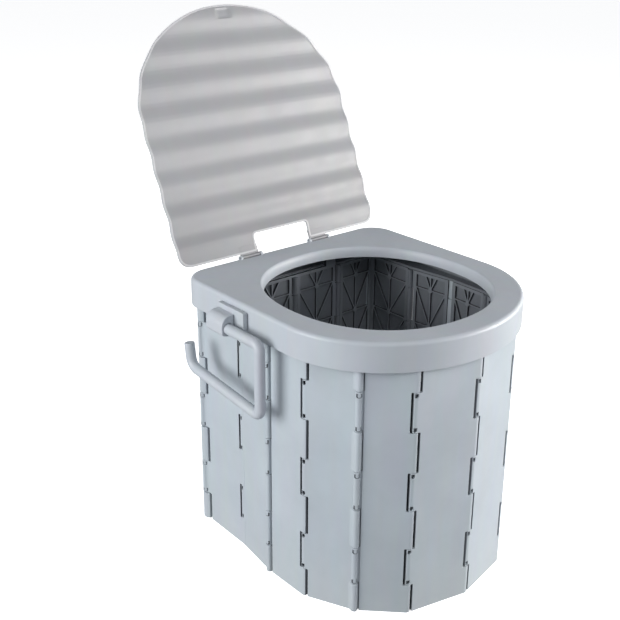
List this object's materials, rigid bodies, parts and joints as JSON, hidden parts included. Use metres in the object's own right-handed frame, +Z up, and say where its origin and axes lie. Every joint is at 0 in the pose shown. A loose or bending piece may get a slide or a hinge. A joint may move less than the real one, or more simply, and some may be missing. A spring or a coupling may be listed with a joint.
{
  "type": "portable camp toilet",
  "caption": "Free-standing camp toilet: a seat with an oval hole and a wavy hinged lid on a folding ring of knuckle-hinged wall panels, with a swinging paper holder",
  "frame": {"origin": "on the floor, at the bottom of the middle hinge of the back wall", "axes": "+Z up, +Y to the rear, the side that the lid leans over; the round front of the seat is towards -Y"},
  "size_m": [0.3206, 0.442, 0.5952],
  "materials": {
    "wall": "fine matte moulded plastic",
    "seat": "satin moulded plastic",
    "lid": "thin satin plastic, slightly milky",
    "holder": "satin moulded plastic"
  },
  "bodies": {
    "back_wall": {"wall_r1": "wall", "wall_l1": "wall"},
    "panel_r2": {"wall_r2": "wall"},
    "panel_r3": {"wall_r3": "wall"},
    "panel_r4": {"wall_r4": "wall"},
    "panel_r5": {"wall_r5": "wall"},
    "panel_r6": {"wall_r6": "wall"},
    "panel_r7": {"wall_r7": "wall"},
    "panel_r8": {"wall_r8": "wall"},
    "panel_l2": {"wall_l2": "wall"},
    "panel_l3": {"wall_l3": "wall"},
    "panel_l4": {"wall_l4": "wall"},
    "panel_l5": {"wall_l5": "wall"},
    "panel_l6": {"wall_l6": "wall"},
    "panel_l7": {"wall_l7": "wall"},
    "panel_l8": {"wall_l8": "wall"},
    "seat": {"seat": "seat", "holder_plate": "holder", "holder_socket": "holder"},
    "lid": {"lid": "lid"},
    "rod": {"holder_rod": "holder"}
  },
  "joints": [
    {"name": "wall_fold", "type": "hinge", "parent": "back_wall", "child": "panel_r2", "pos_m": [0.07, -0.0036, 0.14], "axis": [0, 0, -1], "range_deg": [0, 180]},
    {"name": "hinge_r2", "type": "hinge", "parent": "panel_r2", "child": "panel_r3", "pos_m": [0.13459, 0.0036, 0.14], "axis": [0, 0, -1], "range_deg": [-269.48, 0]},
    {"name": "hinge_r3", "type": "hinge", "parent": "panel_r3", "child": "panel_r4", "pos_m": [0.1281, -0.07293, 0.14], "axis": [0, 0, -1], "range_deg": [0, 186.49]},
    {"name": "hinge_r4", "type": "hinge", "parent": "panel_r4", "child": "panel_r5", "pos_m": [0.1426, -0.13187, 0.14], "axis": [0, 0, -1], "range_deg": [-188.2, 0]},
    {"name": "hinge_r5", "type": "hinge", "parent": "panel_r5", "child": "panel_r6", "pos_m": [0.13423, -0.18862, 0.14], "axis": [0, 0, -1], "range_deg": [0, 155.27]},
    {"name": "hinge_r6", "type": "hinge", "parent": "panel_r6", "child": "panel_r7", "pos_m": [0.11519, -0.24426, 0.14], "axis": [0, 0, -1], "range_deg": [-200.15, 0]},
    {"name": "hinge_r7", "type": "hinge", "parent": "panel_r7", "child": "panel_r8", "pos_m": [0.07036, -0.27746, 0.14], "axis": [0, 0, -1], "range_deg": [0, 148.64]},
    {"name": "hinge_l1", "type": "hinge", "parent": "back_wall", "child": "panel_l2", "pos_m": [-0.07, -0.0036, 0.14], "axis": [0, 0, 1], "range_deg": [0, 180.01]},
    {"name": "hinge_l2", "type": "hinge", "parent": "panel_l2", "child": "panel_l3", "pos_m": [-0.13459, 0.0036, 0.14], "axis": [0, 0, 1], "range_deg": [-269.48, 0]},
    {"name": "hinge_l3", "type": "hinge", "parent": "panel_l3", "child": "panel_l4", "pos_m": [-0.1281, -0.07293, 0.14], "axis": [0, 0, 1], "range_deg": [0, 186.49]},
    {"name": "hinge_l4", "type": "hinge", "parent": "panel_l4", "child": "panel_l5", "pos_m": [-0.1426, -0.13187, 0.14], "axis": [0, 0, 1], "range_deg": [-188.2, 0]},
    {"name": "hinge_l5", "type": "hinge", "parent": "panel_l5", "child": "panel_l6", "pos_m": [-0.13423, -0.18862, 0.14], "axis": [0, 0, 1], "range_deg": [0, 155.27]},
    {"name": "hinge_l6", "type": "hinge", "parent": "panel_l6", "child": "panel_l7", "pos_m": [-0.11519, -0.24426, 0.14], "axis": [0, 0, 1], "range_deg": [-200.15, 0]},
    {"name": "hinge_l7", "type": "hinge", "parent": "panel_l7", "child": "panel_l8", "pos_m": [-0.07036, -0.27746, 0.14], "axis": [0, 0, 1], "range_deg": [0, 148.64]},
    {"name": "seat_lift", "type": "slide", "parent": "back_wall", "child": "seat", "axis": [0, 0, 1], "range_m": [0, 0.08]},
    {"name": "lid_hinge", "type": "hinge", "parent": "seat", "child": "lid", "pos_m": [0, 0.0151, 0.3195], "axis": [1, 0, 0], "range_deg": [0, 114]},
    {"name": "holder_swing", "type": "hinge", "parent": "seat", "child": "rod", "pos_m": [-0.164, -0.1, 0.2915], "axis": [0, 1, 0], "range_deg": [-5, 90]}
  ],
  "couplings": [
    {"joint": "hinge_r2", "follows": "wall_fold", "ratio": -1.497},
    {"joint": "hinge_r3", "follows": "wall_fold", "ratio": 1.036},
    {"joint": "hinge_r4", "follows": "wall_fold", "ratio": -1.0455},
    {"joint": "hinge_r5", "follows": "wall_fold", "ratio": 0.86254},
    {"joint": "hinge_r6", "follows": "wall_fold", "ratio": -1.1119},
    {"joint": "hinge_r7", "follows": "wall_fold", "ratio": 0.8257},
    {"joint": "hinge_l1", "follows": "wall_fold", "ratio": 1},
    {"joint": "hinge_l2", "follows": "wall_fold", "ratio": -1.497},
    {"joint": "hinge_l3", "follows": "wall_fold", "ratio": 1.036},
    {"joint": "hinge_l4", "follows": "wall_fold", "ratio": -1.0455},
    {"joint": "hinge_l5", "follows": "wall_fold", "ratio": 0.86254},
    {"joint": "hinge_l6", "follows": "wall_fold", "ratio": -1.1119},
    {"joint": "hinge_l7", "follows": "wall_fold", "ratio": 0.8257}
  ]
}
